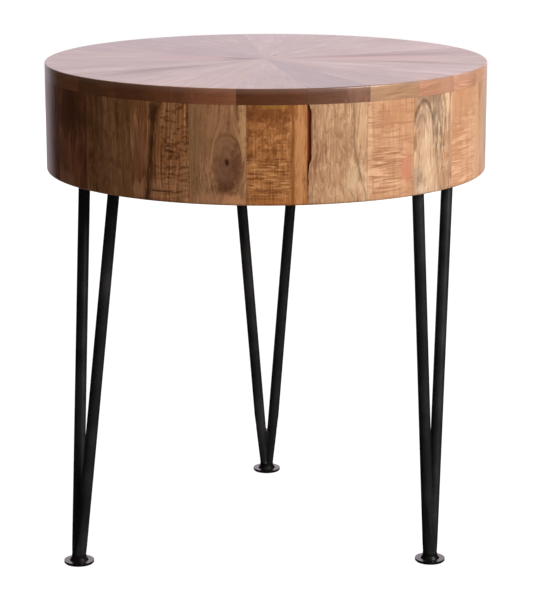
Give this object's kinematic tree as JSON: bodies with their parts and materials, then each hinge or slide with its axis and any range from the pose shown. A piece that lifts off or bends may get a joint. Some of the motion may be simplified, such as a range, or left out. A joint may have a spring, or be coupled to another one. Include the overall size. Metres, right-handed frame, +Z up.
{
  "type": "round accent table",
  "caption": "Round accent table: a thick drum of mixed-tone hardwood, with a sunburst top over a ring of upright staves, on V-shaped legs of black steel rod.",
  "frame": {"origin": "on the floor, under the middle of the drum", "axes": "+Z up from the floor to the top face, the front faces -Y, the odd leg stands at +Y"},
  "size_m": [0.4572, 0.4572, 0.512],
  "materials": {
    "wood_dark": "clear satin lacquer over dark red-brown hardwood",
    "wood_red": "clear satin lacquer over reddish brown hardwood",
    "wood_orange": "clear satin lacquer over orange-brown rippled hardwood",
    "wood_tan": "clear satin lacquer over tan straight-grained hardwood",
    "wood_pale": "clear satin lacquer over pale spalted hardwood",
    "wood_olive": "clear satin lacquer over olive-brown hardwood",
    "inner_board": "plain sanded plywood",
    "black_steel": "satin black powder coat",
    "screw_steel": "bright zinc plate"
  },
  "bodies": {
    "root": {"top_wedge_01": "wood_red", "top_wedge_02": "wood_olive", "top_wedge_03": "wood_orange", "top_wedge_04": "wood_tan", "top_wedge_05": "wood_pale", "top_wedge_06": "wood_orange", "top_wedge_07": "wood_red", "top_wedge_08": "wood_tan", "top_wedge_09": "wood_dark", "top_wedge_10": "wood_orange", "top_wedge_11": "wood_olive", "top_wedge_12": "wood_red", "top_wedge_13": "wood_tan", "top_wedge_14": "wood_pale", "top_wedge_15": "wood_red", "top_wedge_16": "wood_orange", "top_wedge_17": "wood_dark", "top_wedge_18": "wood_tan", "top_wedge_19": "wood_olive", "top_wedge_20": "wood_red", "top_wedge_21": "wood_dark", "top_wedge_22": "wood_red", "top_wedge_23": "wood_red", "top_wedge_24": "wood_dark", "stave_01": "wood_tan", "stave_02": "wood_orange", "stave_03": "wood_pale", "stave_04": "wood_orange", "stave_05": "wood_orange", "stave_06": "wood_tan", "stave_07": "wood_red", "stave_08": "wood_olive", "stave_09": "wood_orange", "stave_10": "wood_pale", "stave_11": "wood_dark", "stave_12": "wood_tan", "stave_13": "wood_red", "stave_14": "wood_orange", "stave_15": "wood_olive", "stave_16": "wood_pale", "stave_17": "wood_orange", "stave_18": "wood_tan", "stave_19": "wood_red", "stave_20": "wood_dark", "stave_21": "wood_olive", "stave_22": "wood_red", "stave_23": "wood_olive", "stave_24": "wood_orange", "sub_top": "inner_board", "bottom_board": "inner_board", "back_leg_rods": "black_steel", "back_leg_plate": "black_steel", "back_foot": "black_steel", "left_leg_rods": "black_steel", "left_leg_plate": "black_steel", "left_foot": "black_steel", "right_leg_rods": "black_steel", "right_leg_plate": "black_steel", "right_foot": "black_steel", "leg_screws": "screw_steel"}
  },
  "joints": []
}
